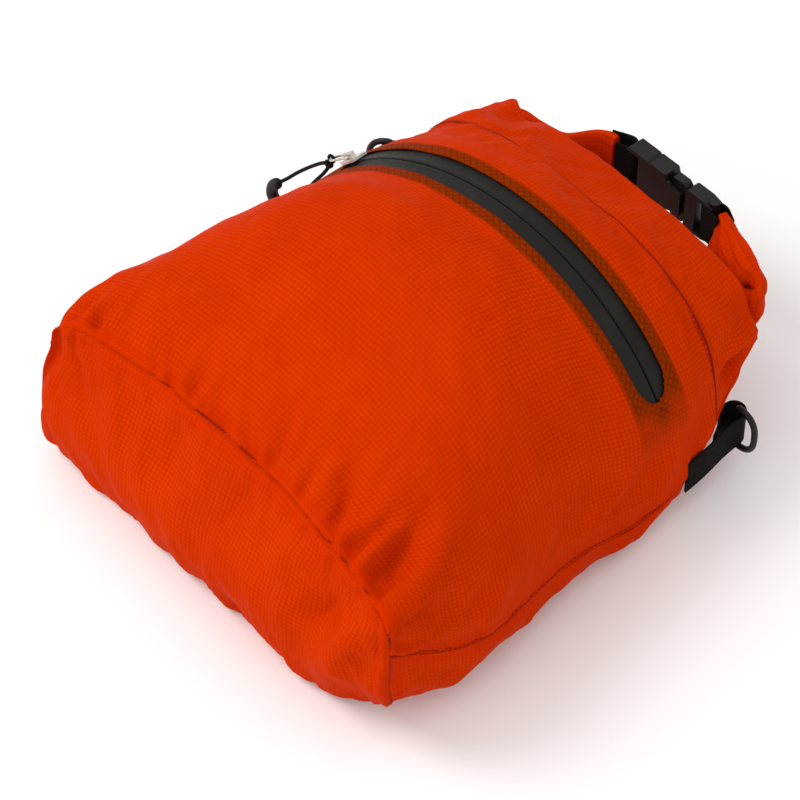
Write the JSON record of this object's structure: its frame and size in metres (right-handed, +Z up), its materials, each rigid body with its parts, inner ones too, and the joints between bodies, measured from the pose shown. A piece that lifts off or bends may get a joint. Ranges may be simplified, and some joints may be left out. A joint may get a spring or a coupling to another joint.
{
  "type": "dry bag",
  "caption": "Small roll-top dry bag lying on its back: puffed coated-fabric body, curved zip pocket, buckled carry loop and side D-rings.",
  "frame": {"origin": "middle of the flat area of the back panel that the bag lies on", "axes": "+Z up from the back panel towards the zipped front, +Y from the boxed base towards the rolled mouth, +X across the bag towards the zip's blind end"},
  "size_m": [0.2673, 0.2908, 0.1414],
  "materials": {
    "panel_fabric": "orange-red ripstop with a coated inside, lightly glossy",
    "seam_tape": "thin translucent heat-welded tape",
    "zip_tape": "charcoal coated zip tape, satin",
    "zip_coil": "charcoal nylon coil, matt",
    "slider_metal": "nickel-plated die casting, satin",
    "cord": "black braided cord",
    "black_plastic": "black acetal, fine spark texture",
    "webbing": "black woven nylon webbing",
    "stiffener": "flexible plastic strip, matt"
  },
  "bodies": {
    "bag": {"front_panel": "panel_fabric", "back_panel": "panel_fabric", "base_panel": "panel_fabric", "collar_front": "panel_fabric", "collar_back": "panel_fabric", "left_side_seam_tape": "seam_tape", "right_side_seam_tape": "seam_tape", "zip_tape_base_side": "zip_tape", "zip_tape_mouth_side": "zip_tape", "zip_coil": "zip_coil", "zip_end_stop": "zip_coil", "zip_top_stop": "zip_coil", "right_tab": "webbing", "left_tab": "webbing"},
    "carry_loop": {"mouth_roll": "panel_fabric", "mouth_stiffener": "stiffener", "mouth_roll_left_end": "panel_fabric", "female_strap": "webbing", "buckle_female": "black_plastic"},
    "loop_free_end": {"mouth_roll_right_end": "panel_fabric", "male_strap": "webbing", "buckle_male": "black_plastic"},
    "upper_prong": {"prong_upper": "black_plastic"},
    "lower_prong": {"prong_lower": "black_plastic"},
    "slider": {"slider_body": "slider_metal"},
    "puller": {"wire_puller": "slider_metal"},
    "pull_loop": {"cord_knot": "cord", "pull_cord_upper": "cord", "pull_cord_lower": "cord", "pull_grip": "black_plastic"},
    "right_ring": {"right_ring": "black_plastic"},
    "left_ring": {"left_ring": "black_plastic"}
  },
  "joints": [
    {"name": "loop_tilt", "type": "hinge", "parent": "bag", "child": "carry_loop", "pos_m": [0, 0.1245, 0.094], "axis": [1, 0, 0], "range_deg": [0, 25]},
    {"name": "buckle_release", "type": "slide", "parent": "carry_loop", "child": "loop_free_end", "axis": [1, 0, 0], "range_m": [0, 0.024], "deforming": ["prong_upper", "prong_lower"]},
    {"name": "upper_prong_press", "type": "hinge", "parent": "loop_free_end", "child": "upper_prong", "pos_m": [0.0215, 0.151, 0.087], "axis": [0, -1, 0], "range_deg": [0, 7], "stiffness_Nm_per_rad": 0.5},
    {"name": "lower_prong_press", "type": "hinge", "parent": "loop_free_end", "child": "lower_prong", "pos_m": [0.0215, 0.151, 0.072], "axis": [0, 1, 0], "range_deg": [0, 7], "stiffness_Nm_per_rad": 0.5},
    {"name": "zip_slide", "type": "hinge", "parent": "bag", "child": "slider", "pos_m": [-0.0016, 0.04, 0.006], "axis": [-0.0782, 0.994, -0.0762], "range_deg": [0, 88]},
    {"name": "puller_tilt", "type": "hinge", "parent": "slider", "child": "puller", "pos_m": [-0.0929, 0.03988, 0.09806], "axis": [-0.0782, 0.994, -0.0762], "range_deg": [0, 110]},
    {"name": "pull_cord_swing", "type": "hinge", "parent": "puller", "child": "pull_loop", "pos_m": [-0.10418, 0.0383, 0.0891], "axis": [-0.0782, 0.994, -0.0762], "range_deg": [0, 60]},
    {"name": "right_ring_swing", "type": "hinge", "parent": "bag", "child": "right_ring", "pos_m": [0.1015, 0.1075, 0.024], "axis": [0, 0, 1], "range_deg": [-40, 60]},
    {"name": "left_ring_swing", "type": "hinge", "parent": "bag", "child": "left_ring", "pos_m": [-0.1136, 0.0845, 0.051], "axis": [0, 0, -1], "range_deg": [-5, 95]}
  ]
}
